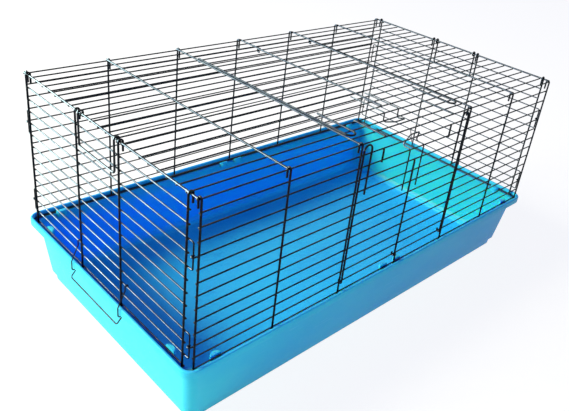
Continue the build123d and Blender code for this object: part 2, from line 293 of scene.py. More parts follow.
def settled_dust():
    """Fine noise where the surface faces up."""
    tree, vector, outputs = new_group("settled_dust", ["Mask"])
    normal = add_node(tree, "ShaderNodeNewGeometry").outputs["Normal"]
    upward = add_node(tree, "ShaderNodeSeparateXYZ", {"Vector": normal}).outputs["Z"]
    specks = ramp(tree, noise(tree, vector, 260.0, 4.0), 0.5, 0.75)
    drift = ramp(tree, noise(tree, vector, 11.0, 4.0), 0.4, 0.7)
    lying = calc(tree, "MULTIPLY", ramp(tree, upward, 0.35, 0.95), calc(tree, "ADD", drift, specks))
    feed(tree, outputs["Mask"], calc(tree, "MULTIPLY", lying, 0.5))
    return tree


SCRATCHES = hairline_scratches()
DUST = settled_dust()
print("shared effects:", SCRATCHES.name, DUST.name)


# %% Start of a material
def new_material(name, shader_values):
    """A material with one Principled BSDF whose plain values are set on its own sockets."""
    material = bpy.data.materials.new(name)
    material.use_nodes = True
    tree = material.node_tree
    tree.nodes.clear()
    shader = add_node(tree, "ShaderNodeBsdfPrincipled", shader_values)
    add_node(tree, "ShaderNodeOutputMaterial", {"Surface": shader.outputs[0]})
    return material, tree, shader.inputs


print("materials before the object's own:", [material.name for material in bpy.data.materials])

# %% [markdown]
# ## Tray plastic
#
# The tray is glossy polypropylene, dyed azure. Such plastic is cloudy: light goes into the thin wall,
# spreads, and leaves again, bluest where it went furthest, so a wall lit from behind glows. A flat colour
# can't do that, and subsurface scattering can. Over it lie the moulding's faint flow mottle, an orange-peel
# skin, scuffs and some dust. The mesh carries two attributes for this finish. Above 0, the first makes the
# rim and the foot paler, where hands and floors rub them, and below 0 it paints shade into the groove: a
# near-black colour where the lip shades it. The other, cloud, is the share of light that scatters inside:
# large on the inner walls, which glow, and small outside, where the wall shows its own colour.

# %% Tray plastic
AZURE = (0.045, 0.65, 0.97, 1.0)
AZURE_DEEP = (0.034, 0.60, 0.96, 1.0)
RUBBED_BLUE = (0.09, 0.71, 0.97, 1.0)
# Painted shade: the near-black colour laid into the groove where the lip shades it.
GROOVE_PAINTED_SHADE = (0.004, 0.015, 0.035, 1.0)
DUST_GREY = (0.50, 0.56, 0.58, 1.0)


def tray_plastic():
    """Azure polypropylene: cloudy, glossy, lightly used, with painted shade in its groove."""
    material, tree, shader = new_material("tray_plastic", {
        "IOR": 1.49,
        "Specular IOR Level": 0.07,
        "Subsurface Radius": (0.02, 0.05, 1.0),
        "Subsurface Scale": 0.035,
    })
    place = add_node(tree, "ShaderNodeTexCoord").outputs["Object"]
    mottle = ramp(tree, noise(tree, stretch(tree, place, (5.0, 7.0, 14.0)), 1.0, 4.0), 0.35, 0.68)
    scuffs = use_group(tree, SCRATCHES, place)["Mask"]
    dust = use_group(tree, DUST, place)["Mask"]
    # This attribute carries rubbed paleness above 0 and painted groove shade below 0.
    rub_and_groove_shade = add_node(tree, "ShaderNodeAttribute", attribute_name="rub_and_groove_shade").outputs["Fac"]
    cloud = add_node(tree, "ShaderNodeAttribute", attribute_name="cloud").outputs["Fac"]
    feed(tree, shader["Subsurface Weight"], cloud)
    worn = calc(tree, "MULTIPLY", rub_and_groove_shade, ramp(tree, noise(tree, place, 60.0, 5.0), 0.35, 0.75, 0.05, 0.35))

    colour = blend(tree, mottle, AZURE, AZURE_DEEP)
    colour = blend(tree, worn, colour, RUBBED_BLUE)
    colour = blend(tree, calc(tree, "MULTIPLY", scuffs, 0.12), colour, RUBBED_BLUE)
    colour = blend(tree, calc(tree, "MULTIPLY", dust, 0.05), colour, DUST_GREY)
    # Painted shade: where that attribute falls below 0, the groove is blended towards near black.
    colour = blend(tree, ramp(tree, rub_and_groove_shade, -1.0, 0.0, 0.95, 0.0), colour, GROOVE_PAINTED_SHADE)
    feed(tree, shader["Base Color"], colour)

    dull = calc(tree, "MAXIMUM", calc(tree, "MULTIPLY", scuffs, 0.6), calc(tree, "MULTIPLY", dust, 0.5))
    dull = calc(tree, "MAXIMUM", dull, calc(tree, "MULTIPLY", mottle, 0.12))
    feed(tree, shader["Roughness"], ramp(tree, dull, 0.0, 1.0, 0.26, 0.6))

    peel = noise(tree, place, 420.0, 2.0)
    height = calc(tree, "SUBTRACT", peel, calc(tree, "MULTIPLY", scuffs, 0.5))
    bump = add_node(tree, "ShaderNodeBump", {"Height": height, "Strength": 0.12, "Distance": 0.0004})
    feed(tree, shader["Normal"], bump.outputs["Normal"])
    return material


TRAY_PLASTIC = tray_plastic()
print("finish:", TRAY_PLASTIC.name)

# %% [markdown]
# ## Plated wire
#
# The wire is drawn steel under a dark zinc plate. Drawing leaves fine marks along the wire, so the finish
# needs a coordinate that follows each bend: the tubes below carry one named drawn, with the length along
# the wire first. Each tube also knows how near a weld it is, because the plate is greyer and rougher there.
# The spring wire of the latches, handles and clips is drawn brighter, so it takes the same recipe with its
# own values.

# %% Plated wire
def drawing_marks():
    """Streaks that run along a wire."""
    tree, vector, outputs = new_group("drawing_marks", ["Streaks"])
    fine = noise(tree, stretch(tree, vector, (45.0, 3200.0, 3200.0)), 1.0, 3.0)
    feed(tree, outputs["Streaks"], ramp(tree, fine, 0.35, 0.68))
    return tree


DRAWING_MARKS = drawing_marks()
WELD_GREY = (0.018, 0.020, 0.022, 1.0)
TARNISH = (0.010, 0.011, 0.013, 1.0)
EDGE_TINT = (0.60, 0.63, 0.62, 1.0)


def plated_wire(name, dark, bright, smooth, rough):
    """Zinc plate between a dark and a bright colour, and between a smooth and a rough value."""
    material, tree, shader = new_material(name, {"Metallic": 1.0, "Specular Tint": EDGE_TINT})
    place = add_node(tree, "ShaderNodeTexCoord").outputs["Object"]
    along = add_node(tree, "ShaderNodeAttribute", attribute_name="drawn").outputs["Vector"]
    weld = add_node(tree, "ShaderNodeAttribute", attribute_name="weld").outputs["Fac"]
    streaks = use_group(tree, DRAWING_MARKS, along)["Streaks"]
    scratches = use_group(tree, SCRATCHES, place)["Mask"]
    dust = use_group(tree, DUST, place)["Mask"]
    cloud = ramp(tree, noise(tree, place, 38.0, 4.0), 0.45, 0.72, 0.0, 0.6)
    heat = calc(tree, "MULTIPLY", weld, ramp(tree, noise(tree, place, 700.0), 0.3, 0.6, 0.5, 1.0))

    colour = blend(tree, streaks, dark, bright)
    colour = blend(tree, cloud, colour, TARNISH)
    colour = blend(tree, heat, colour, WELD_GREY)
    colour = blend(tree, calc(tree, "MULTIPLY", dust, 0.15), colour, DUST_GREY)
    feed(tree, shader["Base Color"], colour)

    wear = calc(tree, "MAXIMUM", calc(tree, "MULTIPLY", streaks, 0.4), calc(tree, "MAXIMUM", heat, scratches))
    feed(tree, shader["Roughness"], ramp(tree, wear, 0.0, 1.0, smooth, rough))
    bump = add_node(tree, "ShaderNodeBump", {"Height": streaks, "Strength": 0.15, "Distance": 0.00008})
    feed(tree, shader["Normal"], bump.outputs["Normal"])
    return material


PANEL_WIRE = plated_wire("panel_wire", dark=(0.004, 0.005, 0.008, 1.0), bright=(0.012, 0.014, 0.018, 1.0),
                         smooth=0.24, rough=0.46)
SPRING_WIRE = plated_wire("spring_wire", dark=(0.011, 0.013, 0.016, 1.0), bright=(0.028, 0.031, 0.036, 1.0),
                          smooth=0.18, rough=0.40)
print("finishes:", PANEL_WIRE.name, SPRING_WIRE.name)

# %% [markdown]
# ## From arrays to meshes
#
# Every shape below is worked out in millimetres as whole numpy arrays: points, blocks of faces with equal
# corner counts, and marks, which are values that a finish reads at each point. One function joins such
# parts, scales them to metres, and hands them to Blender in bulk, which is far quicker than adding faces
# one by one.

# %% Mesh from arrays
MM = 0.001
SHARP_DEGREES = 40.0


def put_mesh(name, parts, material):
    """Join parts into one mesh object at the origin, with its place in its points."""
    points = np.concatenate([part["points"] for part in parts]) * MM
    firsts = np.cumsum([0] + [len(part["points"]) for part in parts])
    blocks = [block + first for part, first in zip(parts, firsts) for block in part["faces"]]
    corners = np.concatenate([block.ravel() for block in blocks]).astype(np.int32)
    sizes = np.concatenate([np.full(len(block), block.shape[1]) for block in blocks])
    mesh = bpy.data.meshes.new(name)
    mesh.vertices.add(len(points))
    mesh.vertices.foreach_set("co", points.ravel())
    mesh.loops.add(len(corners))
    mesh.loops.foreach_set("vertex_index", corners)
    mesh.polygons.add(len(sizes))
    mesh.polygons.foreach_set("loop_start", (np.cumsum(sizes) - sizes).astype(np.int32))
    for label in parts[0]["marks"]:
        values = np.concatenate([part["marks"][label] for part in parts])
        kind, field = ("FLOAT", "value") if values.ndim == 1 else ("FLOAT_VECTOR", "vector")
        mesh.attributes.new(label, kind, "POINT").data.foreach_set(field, values.ravel())
    mesh.update(calc_edges=True)
    mesh.shade_smooth()
    mesh.set_sharp_from_angle(angle=np.radians(SHARP_DEGREES))
    mesh.materials.append(material)
    made = bpy.data.objects.new(name, mesh)
    bpy.context.scene.collection.objects.link(made)
    print(name, len(points), "points", len(sizes), "faces")
    return made


# %% Rounded corners
def rounded(corners, radii, steps=6):
    """Points along straight runs whose inner corners are arcs that touch both runs.

    Where unit runs a and b meet at a turn t, the arc of radius r starts r tan(t/2) before the corner. With
    n = (b - a cos t) / sin t, its centre is that start plus r n, and its points are
    centre - r n cos(p) + r a sin(p), for p from 0 to t.
    """
    corners = np.asarray(corners, float)
    runs = np.diff(corners, axis=0)
    runs = runs / np.linalg.norm(runs, axis=1, keepdims=True)
    before, after = runs[:-1], runs[1:]
    cosine = np.sum(before * after, axis=1, keepdims=True)
    angle = np.arccos(cosine)
    radius = np.broadcast_to(np.asarray(radii, float), len(before))[:, None]
    inward = (after - before * cosine) / np.sin(angle)
    start = corners[1:-1] - before * radius * np.tan(angle / 2)
    sweep = (angle * np.linspace(0, 1, steps + 1))[:, :, None]
    centre = (start + inward * radius)[:, None]
    reach = radius[:, :, None]
    arcs = centre - reach * inward[:, None] * np.cos(sweep) + reach * before[:, None] * np.sin(sweep)
    return np.concatenate([corners[:1], arcs.reshape(-1, corners.shape[1]), corners[-1:]])


def turned(points, degrees):
    """Points turned about the upright axis."""
    angle = np.radians(degrees)
    spin = np.array([[np.cos(angle), -np.sin(angle), 0], [np.sin(angle), np.cos(angle), 0], [0, 0, 1]])
    return points @ spin.T


print("points on one rounded corner:", len(rounded([(0, 0), (2, 0), (2, 2)], 1.0)))

# %% [markdown]
# ## The tray
#
# The tray is one moulding of even thickness. Its section runs under the floor, round the stepped foot, up
# the leaning wall, out below the rim, round the lip and its crown, down into the groove, and back inside to
# the floor. Cutting that out of a block would need many booleans. Carrying the section round a rounded
# rectangle gives the whole skin as one grid, with every edge softened as a mould leaves it. Each corner of
# the section also says how rubbed and how cloudy the plastic is there, and in the groove how much painted
# shade lies there, and the skin carries these values to the finish.

# %% Tray section
tray_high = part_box("base_tray")[1]
HALF_LENGTH = tray_high.x / MM
HALF_WIDTH = tray_high.y / MM
RIM_Z = tray_high.z / MM
LIP_HEIGHT = 15.0
LEDGE_DEPTH = 10.0
CROWN_WIDTH = 6.0
WALL = 3.0
WALL_TOP_INSET = 13.5
WALL_FOOT_INSET = 26.0
WALL_FOOT_Z = 20.0
FOOT_INSET = 31.0
FOOT_Z = 13.0
BASE_INSET = 32.5
FLOOR_INSET = 150.0
RIM_CORNER = 24.0
WALL_CORNER = 20.0
LEDGE_Z = RIM_Z - LEDGE_DEPTH
LIP_FOOT_Z = RIM_Z - LIP_HEIGHT
UNDER_LEDGE_Z = LEDGE_Z - WALL
SECTION = np.array([
    # inset, height, corner radius in plan, edge round, rub above 0 and painted groove shade below 0, cloud
    (FLOOR_INSET, 0, WALL_CORNER, 0, 0.3, 0.2),
    (BASE_INSET, 0, WALL_CORNER, 2.0, 1.0, 0.4),
    (FOOT_INSET, FOOT_Z, WALL_CORNER, 1.2, 0.4, 0.1),
    (WALL_FOOT_INSET, WALL_FOOT_Z, WALL_CORNER, 1.2, 0.6, 0.1),
    (WALL_TOP_INSET, UNDER_LEDGE_Z, WALL_CORNER, 1.0, 0.0, 0.1),
    (WALL, UNDER_LEDGE_Z, RIM_CORNER - WALL, 0.5, 0.0, 0.9),
    (WALL, LIP_FOOT_Z, RIM_CORNER - WALL, 0.7, 0.3, 0.9),
    (0, LIP_FOOT_Z, RIM_CORNER, 0.9, 0.8, 0.1),
    (0, RIM_Z, RIM_CORNER, 2.6, 1.0, 0.1),
    (CROWN_WIDTH, RIM_Z, RIM_CORNER - CROWN_WIDTH, 2.6, 1.0, 0.3),
    # The groove's two corners take values below 0 in the fifth column: painted shade, darkest at the groove's
    # floor.
    (CROWN_WIDTH, LEDGE_Z, RIM_CORNER - CROWN_WIDTH, 1.0, -1.0, 0.0),
    (WALL_TOP_INSET + WALL, LEDGE_Z, WALL_CORNER - WALL, 1.2, -0.2, 0.8),
    (WALL_FOOT_INSET + WALL, WALL_FOOT_Z, WALL_CORNER - WALL, 2.5, 0.0, 0.8),
    (FOOT_INSET + WALL, FOOT_Z, WALL_CORNER - WALL, 2.5, 0.2, 0.5),
    (BASE_INSET + WALL, WALL, WALL_CORNER - WALL, 6.0, 0.0, 0.05),
    (FLOOR_INSET, WALL, WALL_CORNER - WALL, 0, 0.2, 0.05),
])
print("tray section corners:", len(SECTION))

# %% Tray skin
EDGE_STEPS = 6
CORNER_STEPS = 10
SIDE_STEPS = 18
REFINE_STEP = 16.0


def closed_grid(grid, marks):
    """A grid that closes round its second axis, with its first and last rings capped.

    The rings run anticlockwise seen from above, and each next ring goes on outwards and up, so that faces
    look out.
    """
    rings, around = grid.shape[:2]
    index = np.arange(rings * around).reshape(rings, around)
    beside = np.roll(index, -1, axis=1)
    quads = np.stack([index[:-1], beside[:-1], beside[1:], index[1:]], axis=-1).reshape(-1, 4)
    caps = [index[:1, ::-1], index[-1:]]
    return {"points": grid.reshape(-1, 3), "faces": [quads] + caps, "marks": marks}


def tray_rings(inset, height, corner):
    """Rounded rectangles in plan, one for each inset, height and corner radius.

    Each is four quarter circles of the corner radius about the corner centres, with evenly spaced points on
    the straight sides between them.
    """
    angle = np.radians(np.arange(4)[:, None] * 90 + np.linspace(0, 90, CORNER_STEPS + 1))
    sign = np.array([(1, 1), (-1, 1), (-1, -1), (1, -1)])
    half = np.stack([HALF_LENGTH - inset - corner, HALF_WIDTH - inset - corner], axis=-1)
    centres = half[:, None] * sign
    circle = np.stack([np.cos(angle), np.sin(angle)], axis=-1)
    arcs = centres[:, :, None] + corner[:, None, None, None] * circle
    share = np.linspace(0, 1, SIDE_STEPS + 1)[1:-1][:, None]
    leave, arrive = arcs[:, :, -1:], np.roll(arcs, -1, axis=1)[:, :, :1]
    sides = leave + (arrive - leave) * share
    plan = np.concatenate([arcs, sides], axis=2).reshape(len(inset), -1, 2)
    lift = np.broadcast_to(height[:, None, None], plan.shape[:2] + (1,))
    return np.concatenate([plan, lift], axis=2)


def tray_skin():
    """The section's edges are rounded, its long runs divided, and the result carried round the plan."""
    path = rounded(SECTION[:, :2], SECTION[1:-1, 3], EDGE_STEPS)
    knots = np.concatenate([SECTION[:1], np.repeat(SECTION[1:-1], EDGE_STEPS + 1, axis=0), SECTION[-1:]])
    distance = np.concatenate([[0], np.cumsum(np.linalg.norm(np.diff(path, axis=0), axis=1))])
    fine = np.unique(np.concatenate([distance, np.arange(REFINE_STEP, distance[-1], REFINE_STEP)]))
    inset, height = np.interp(fine, distance, path[:, 0]), np.interp(fine, distance, path[:, 1])
    corner, rub_and_groove_shade, cloud = (np.interp(fine, distance, knots[:, column]) for column in (2, 4, 5))
    grid = tray_rings(inset, height, corner)
    # The first mark carries rubbed paleness above 0 and painted groove shade below 0.
    marks = {"rub_and_groove_shade": np.repeat(rub_and_groove_shade, grid.shape[1]), "cloud": np.repeat(cloud, grid.shape[1])}
    return closed_grid(grid, marks)


skin = tray_skin()
print("tray skin points:", len(skin["points"]))

# %% [markdown]
# ## The tray's lugs
#
# Twelve half-round lugs stand inside the groove and keep the bottom wires against the lip. Seen from above
# each is a D with its flat side to the wire. Shrinking the D towards the middle of that flat side while it
# rises gives the rounded top edge, so the same ring-by-ring grid serves again.

# %% Lugs
LUG_HALF = 11.0
LUG_REACH = 8.0
LUG_HEIGHT = 14.0
LUG_ROUND = 1.0
LUG_Z = RIM_Z - 2.0
LUG_INSET = 15.5
LUG_FROM_END = 65.0
LUG_FROM_MIDDLE = 21.5
LUG_FROM_CORNER = 69.0
LUG_BOW_POINTS = 19
LUG_RUB = 0.8
LUG_CLOUD = 0.6


def lug():
    """A D outline scaled by 1 - offset / reach at each height of a rounded profile."""
    radius = (LUG_HALF ** 2 + LUG_REACH ** 2) / (2 * LUG_REACH)
    spread = np.arcsin(LUG_HALF / radius)
    angle = np.linspace(np.pi / 2 - spread, np.pi / 2 + spread, LUG_BOW_POINTS)
    bow = np.stack([radius * np.cos(angle), radius * np.sin(angle) + LUG_REACH - radius], axis=-1)
    profile = rounded([(0, -LUG_HEIGHT), (0, 0), (LUG_REACH / 2, 0)], LUG_ROUND)
    scale = 1 - profile[:, 0] / LUG_REACH
    plan = scale[:, None, None] * bow
    lift = np.broadcast_to(profile[:, 1, None, None], plan.shape[:2] + (1,))
    grid = np.concatenate([plan, lift], axis=2)
    rub_and_groove_shade = np.repeat(np.clip(profile[:, 0], 0, 1), len(bow)) * LUG_RUB
    return closed_grid(grid, {"rub_and_groove_shade": rub_and_groove_shade, "cloud": np.full(len(rub_and_groove_shade), LUG_CLOUD)})


def placed(part, degrees, place):
    """A part turned about the upright axis and moved."""
    return {**part, "points": turned(part["points"], degrees) + place}


lug_x, lug_y = HALF_LENGTH - LUG_INSET, HALF_WIDTH - LUG_INSET
far_x, end_y = HALF_LENGTH - LUG_FROM_END, HALF_WIDTH - LUG_FROM_CORNER
long_side_x = (-far_x, -LUG_FROM_MIDDLE, LUG_FROM_MIDDLE, far_x)
lugs = [placed(lug(), 0, (x, -lug_y, LUG_Z)) for x in long_side_x]
lugs += [placed(lug(), 180, (x, lug_y, LUG_Z)) for x in long_side_x]
lugs += [placed(lug(), -90, (-lug_x, y, LUG_Z)) for y in (-end_y, end_y)]
lugs += [placed(lug(), 90, (lug_x, y, LUG_Z)) for y in (-end_y, end_y)]

tray = put_mesh("tray_moulding", [skin] + lugs, TRAY_PLASTIC)
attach(tray, "tray")
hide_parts("base_tray")

# %% [markdown]
# ## Wire as a tube
#
# A wire is a circle carried along a path. Blender's curve bevel would do it, but a tube made here can carry
# the coordinate that the plated finish reads, and many wires of one panel go in at once. Each cut end has a
# small chamfer. Where two wires are resistance welded they sink into each other and squeeze out a small
# bead.

# %% Tube
SIDES = 12
CHAMFER = 0.35
RING_REFERENCE = np.array((0.5, 0.6, 0.62))
MARKS_SHIFT = 377.0


def unit(vectors):
    """Vectors scaled to length 1."""
    return vectors / np.linalg.norm(vectors, axis=-1, keepdims=True)


def tube(paths, diameter, weld=None):
    """Round wires along n paths of k points each, as one part.

    At each point with unit tangent t, u is the unit of reference x t, and v = t x u. The ring there is
    point + r cos(a) u + r sin(a) v. The first and last rings are smaller by the chamfer, and are capped.
    Each next wire starts MARKS_SHIFT further along the drawing marks, so that no two wires look alike.
    """
    paths = np.asarray(paths, float).reshape(-1, np.shape(paths)[-2], 3)
    weld = np.zeros(paths.shape[1]) if weld is None else weld
    first, last = paths[:, :1], paths[:, -1:]
    after_first = first + unit(paths[:, 1:2] - first) * CHAMFER
    before_last = last + unit(paths[:, -2:-1] - last) * CHAMFER
    paths = np.concatenate([first, after_first, paths[:, 1:-1], before_last, last], axis=1)
    weld = np.concatenate([weld[:1], weld, weld[-1:]])
    radius = np.full(paths.shape[1], diameter / 2)
    radius[[0, -1]] -= CHAMFER

    tangent = unit(np.gradient(paths, axis=1))
    u = unit(np.cross(RING_REFERENCE, tangent))
    v = np.cross(tangent, u)
    angle = np.arange(SIDES) * 2 * np.pi / SIDES
    circle = np.stack([np.cos(angle), np.sin(angle)], axis=-1) * radius[:, None, None]
    ring = circle[None, :, :, :1] * u[:, :, None] + circle[None, :, :, 1:] * v[:, :, None]
    points = paths[:, :, None] + ring

    steps = np.linalg.norm(np.diff(paths, axis=1), axis=2)
    along = np.pad(np.cumsum(steps, axis=1), ((0, 0), (1, 0)))
    along = along + np.arange(len(paths))[:, None] * MARKS_SHIFT
    wires, count = along.shape
    drawn = np.concatenate([
        np.broadcast_to(along[:, :, None, None], (wires, count, SIDES, 1)),
        np.broadcast_to(circle[None], (wires, count, SIDES, 2)),
    ], axis=3)

    index = np.arange(wires * count * SIDES).reshape(wires, count, SIDES)
    beside = np.roll(index, -1, axis=2)
    quads = np.stack([index[:, :-1], beside[:, :-1], beside[:, 1:], index[:, 1:]], axis=-1).reshape(-1, 4)
    marks = {"drawn": drawn.reshape(-1, 3) * MM, "weld": np.tile(np.repeat(weld, SIDES), wires)}
    faces = [quads, index[:, 0, ::-1], index[:, -1]]
    return {"points": points.reshape(-1, 3), "faces": faces, "marks": marks}


print("points on a straight wire:", len(tube([(0, 0, 0), (0, 0, 50), (0, 0, 100)], 2.0)["points"]))

# %% Straight wires and arcs
WELD_REACH = 4.0
END_MARGIN = 1.0


def stations(length, welds):
    """Distances along a wire that need a ring, and how near a weld each of them is.

    They are the wire's ends and middle, and five points round each weld.
    """
    welds = np.asarray(welds, float)
    round_welds = (welds[:, None] + WELD_REACH * np.linspace(-1, 1, 5)).ravel()
    inside = round_welds[(round_welds > END_MARGIN) & (round_welds < length - END_MARGIN)]
    distance = np.unique(np.concatenate([[0, length / 2, length], inside]).round(3))
    nearness = 1 - np.abs(distance[:, None] - welds) / WELD_REACH
    return distance, np.clip(nearness, 0, 1).max(axis=1, initial=0)


def straight(starts, ends, diameter, welds):
    """Straight wires of one length, with welds at the given distances from their starts."""
    starts, ends = np.atleast_2d(starts).astype(float), np.atleast_2d(ends).astype(float)
    length = np.linalg.norm(ends[0] - starts[0])
    distance, nearness = stations(length, welds)
    return tube(starts[:, None] + (ends - starts)[:, None] * (distance / length)[:, None], diameter, nearness)


def arc(centre, start, heading, degrees, steps=14):
    """Points of a circle: centre + start cos(p) + heading sin(p), for p from 0 to the given turn.

    start leads from the centre to the first point. heading is as long, and points the way the wire sets off.
    """
    angle = np.radians(np.linspace(0, degrees, steps + 1))[:, None]
    return np.asarray(centre) + np.cos(angle) * np.asarray(start) + np.sin(angle) * np.asarray(heading)


print("rings on 100 mm of wire with a weld in the middle:", stations(100.0, [50.0])[0])

# %% Weld beads
BEAD_RADII = (2.3, 2.0, 1.35)
BEAD_LATITUDES = np.radians(np.linspace(-90, 90, 7)[1:-1])
BEAD_LONGITUDES = np.radians(np.arange(8) * 45)


def beads(centres, along, across):
    """Weld beads: ellipsoids with one radius along each wire and one through them.

    A point is centre + a cos(v) cos(u) along + b cos(v) sin(u) across + c sin(v) normal.
    """
    centres = np.asarray(centres, float).reshape(-1, 3)
    along, across = np.asarray(along, float), np.asarray(across, float)
    axes = np.stack([along, across, np.cross(along, across)]) * np.array(BEAD_RADII)[:, None]
    v, u = np.meshgrid(BEAD_LATITUDES, BEAD_LONGITUDES, indexing="ij")
    ball = np.stack([np.cos(v) * np.cos(u), np.cos(v) * np.sin(u), np.sin(v)], axis=-1).reshape(-1, 3)
    ball = np.concatenate([ball, [(0, 0, -1), (0, 0, 1)]]) @ axes
    rings, around = v.shape
    index = np.arange(rings * around).reshape(rings, around)
    beside = np.roll(index, -1, axis=1)
    quads = np.stack([index[:-1], beside[:-1], beside[1:], index[1:]], axis=-1).reshape(-1, 4)
    low, high = np.full(around, rings * around), np.full(around, rings * around + 1)
    tips = np.concatenate([np.stack([low, beside[0], index[0]], axis=-1),
                           np.stack([high, index[-1], beside[-1]], axis=-1)])
    shift = np.arange(len(centres))[:, None, None] * len(ball)
    faces = [(quads + shift).reshape(-1, 4), (tips + shift).reshape(-1, 3)]
    points = (centres[:, None] + ball).reshape(-1, 3)
    marks = {"drawn": np.tile(ball, (len(centres), 1)) * MM, "weld": np.ones(len(points))}
    return {"points": points, "faces": faces, "marks": marks}


print("points on one weld bead:", len(beads([(0, 0, 0)], (1, 0, 0), (0, 1, 0))["points"]))


# %% Places and pieces
def grid_of(xs, ys, zs):
    """All points whose coordinates are taken from the three lists."""
    mesh = np.meshgrid(np.atleast_1d(xs), np.atleast_1d(ys), np.atleast_1d(zs), indexing="ij")
    return np.stack(mesh, axis=-1).reshape(-1, 3)


def put_wirework(node, body, parts, finish):
    """One piece of wirework that stands for the node of the same name."""
    made = put_mesh(node + "_wirework", parts, finish)
    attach(made, body)
    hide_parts(node)
    WIREWORK.objects.link(made)
    return made


print("places on a grid of 2 by 3:", len(grid_of((0, 1), (0, 1, 2), 0)))

# %% [markdown]
# ## Where the wires run
#
# A panel is two layers: thick uprights outside and thin rows inside, sunk together by the weld. The panels
# stand in the tray's groove, so every plane follows from the tray's size, the groove's place and the two
# wire sizes.

# %% Planes and heights
FRAME_WIRE = 3.6
MESH_WIRE = 2.6
WELD_DEPTH = 0.3
OVERHANG = 1.2
GROOVE_INSET = 11.0
SEAT_GAP = 0.3
HOOK_GAP = 0.3
LINK_GAP = 0.3
RUN_GAP = 0.35
ROW_COUNT = 13
ROW_PITCH = 23.5
BOTTOM_ROW_LIFT = 3.0
ROOF_ABOVE_ROWS = 24.0
FRAME_X = HALF_LENGTH - GROOVE_INSET
FRAME_Y = HALF_WIDTH - GROOVE_INSET
LAYER_STEP = (FRAME_WIRE + MESH_WIRE) / 2 - WELD_DEPTH
MESH_X = FRAME_X - LAYER_STEP
MESH_Y = FRAME_Y - LAYER_STEP
BEAD_STEP = (MESH_WIRE - WELD_DEPTH) / 2
END_HOOK = FRAME_WIRE + HOOK_GAP
LONG_HOOK = (FRAME_WIRE + MESH_WIRE) / 2 + HOOK_GAP
RIM_X = FRAME_X - END_HOOK
RIM_Y = FRAME_Y - LONG_HOOK
FOOT_OF_WIRE_Z = LEDGE_Z + SEAT_GAP
ROW_Z = LEDGE_Z + BOTTOM_ROW_LIFT + ROW_PITCH * np.arange(ROW_COUNT)
CROSS_Z = ROW_Z[-1] + ROOF_ABOVE_ROWS
ROOF_MESH_Z = CROSS_Z - LAYER_STEP
print("rows from", ROW_Z[0], "to", ROW_Z[-1], "mm, roof wires at", CROSS_Z)

# %% [markdown]
# ## Uprights with hooks
#
# Each upright ends in a hook that drops over the roof's edge wire: the wire goes up, turns half round, and
# comes down a little on the inside. The path is a straight run, an arc and a straight tail. It is drawn
# once and copied to each place along a wall, turned to face inwards.

# %% Hooked uprights
HOOK_TAIL = 16.0


def hooked_uprights(places, degrees, hook_z, radius):
    """Uprights on the given feet that hook inwards at a height. Facing angle 0 hooks towards +Y.

    The path is a leg straight up to that height, a half circle of the radius, and a tail straight down.
    """
    height = hook_z - FOOT_OF_WIRE_Z
    distance, nearness = stations(height, ROW_Z - FOOT_OF_WIRE_Z)
    leg = np.stack([0 * distance, 0 * distance, distance], axis=-1)
    hook = arc((0, radius, height), (0, -radius, 0), (0, 0, radius), 180)
    path = np.concatenate([leg, hook[1:], hook[-1:] - (0, 0, HOOK_TAIL)])
    weld = np.pad(nearness, (0, len(path) - len(nearness)))
    return tube(np.asarray(places, float)[:, None] + turned(path, degrees), FRAME_WIRE, weld)


print("uprights stand from", FOOT_OF_WIRE_Z, "mm, and their hooks come", HOOK_TAIL, "mm down inside")

# %% [markdown]
# ## Front and back panels
#
# Two of the rows run on past the corner and curl into an eye round a loop of the end panel, which is how
# the flat-packed panels link up. The front has a doorway: its rows stop at the uprights beside it, and a
# short upright under the doorway steadies the sill.

# %% Rows of the long panels
LONG_BAYS = 6
CORNER_GAP = 8.0
SHORT_UPRIGHT_X = 4.2
LINK_ROWS = [2, 9]
LINK_EYE_TURN = 260.0
HINGE_ROW = 1
DOOR_ROWS = 9
LINK_RADIUS = MESH_WIRE + LINK_GAP
LINK_Y = MESH_Y - LINK_RADIUS
FRONT_EDGE_X = FRAME_X - CORNER_GAP
BAY = 2 * FRONT_EDGE_X / LONG_BAYS
LONG_UPRIGHTS = BAY * np.arange(-LONG_BAYS // 2, LONG_BAYS // 2 + 1)
ROW_END_X = FRONT_EDGE_X + OVERHANG
side_welds = BAY * np.arange(LONG_BAYS // 2) + OVERHANG


def row_with_eye(start_x, side, facing, row, welds):
    """A row from start_x to an eye at one end. side is the end's sign along X, facing the panel's along Y."""
    length = MESH_X - side * start_x
    distance, nearness = stations(length, np.asarray(welds))
    level = 0 * distance
    run = np.stack([start_x + side * distance, level + facing * MESH_Y, level + ROW_Z[row]], axis=-1)
    eye_centre = (side * MESH_X, facing * LINK_Y, ROW_Z[row])
    eye = arc(eye_centre, (0, facing * LINK_RADIUS, 0), (side * LINK_RADIUS, 0, 0), LINK_EYE_TURN)
    path = np.concatenate([run, eye[1:]])
    return tube(path, MESH_WIRE, np.pad(nearness, (0, len(eye) - 1)))


def full_rows(rows, y):
    """Rows that run the whole length of a long panel."""
    starts = grid_of(-ROW_END_X, y, ROW_Z[rows])
    return straight(starts, starts * (-1, 1, 1), MESH_WIRE, LONG_UPRIGHTS + ROW_END_X)


def side_rows(rows, side):
    """Rows of the front panel from the doorway's upright to the corner."""
    starts = grid_of(side * (BAY - OVERHANG), -MESH_Y, ROW_Z[rows])
    ends = grid_of(side * ROW_END_X, -MESH_Y, ROW_Z[rows])
    return straight(starts, ends, MESH_WIRE, side_welds)


print("bays of the long panels:", LONG_BAYS, "of", BAY, "mm")

